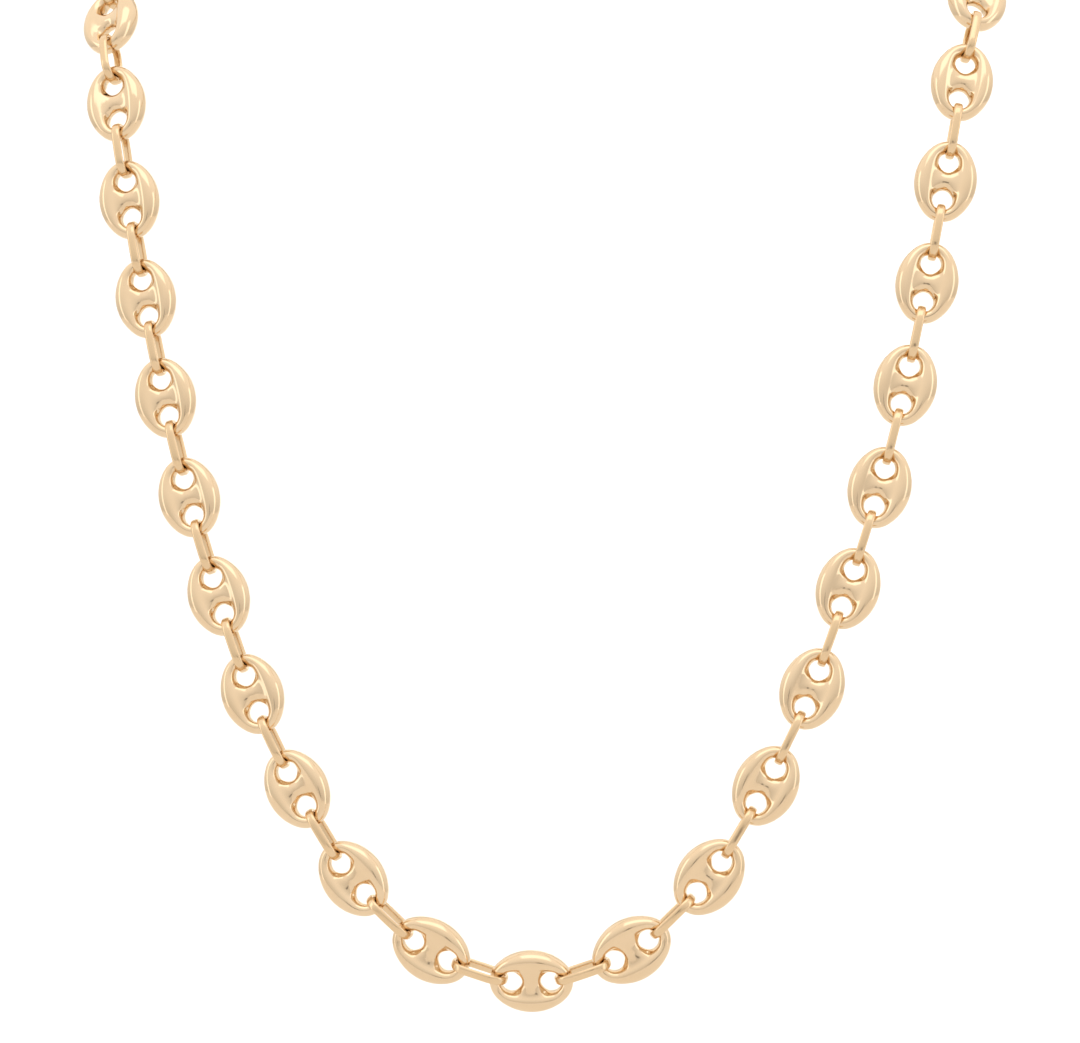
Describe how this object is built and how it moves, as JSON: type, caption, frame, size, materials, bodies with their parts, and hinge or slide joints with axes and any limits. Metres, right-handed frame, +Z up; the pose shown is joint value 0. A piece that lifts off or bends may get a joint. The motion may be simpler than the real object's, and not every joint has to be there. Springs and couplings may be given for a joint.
{
  "type": "puffed mariner link neck chain",
  "caption": "Worn neck chain of plump oval links with a crossbar, joined by narrow oval connectors on edge, with a plain clasp at the nape.",
  "frame": {"origin": "at the nape, in the middle of the clasp, where the chain lies on the back of the neck", "axes": "+Z up as worn, +Y backwards out of the nape, X across the neck; the front of the chain faces -Y"},
  "size_m": [0.1132, 0.0703, 0.1477],
  "materials": {
    "puffed_gold": "high polish",
    "connector_gold": "high polish",
    "clasp_gold": "high polish"
  },
  "bodies": {
    "root": {"puff_link_01": "puffed_gold", "puff_link_02": "puffed_gold", "puff_link_03": "puffed_gold", "puff_link_04": "puffed_gold", "puff_link_05": "puffed_gold", "puff_link_06": "puffed_gold", "puff_link_07": "puffed_gold", "puff_link_08": "puffed_gold", "puff_link_09": "puffed_gold", "puff_link_10": "puffed_gold", "puff_link_11": "puffed_gold", "puff_link_12": "puffed_gold", "puff_link_13": "puffed_gold", "puff_link_14": "puffed_gold", "puff_link_15": "puffed_gold", "puff_link_16": "puffed_gold", "puff_link_17": "puffed_gold", "puff_link_18": "puffed_gold", "puff_link_19": "puffed_gold", "puff_link_20": "puffed_gold", "puff_link_21": "puffed_gold", "puff_link_22": "puffed_gold", "puff_link_23": "puffed_gold", "puff_link_24": "puffed_gold", "puff_link_25": "puffed_gold", "puff_link_26": "puffed_gold", "puff_link_27": "puffed_gold", "puff_link_28": "puffed_gold", "puff_link_29": "puffed_gold", "puff_link_30": "puffed_gold", "puff_link_31": "puffed_gold", "puff_link_32": "puffed_gold", "puff_link_33": "puffed_gold", "puff_link_34": "puffed_gold", "puff_link_35": "puffed_gold", "connectors_left": "connector_gold", "connectors_right": "connector_gold", "lobster_clasp": "clasp_gold"}
  },
  "joints": []
}
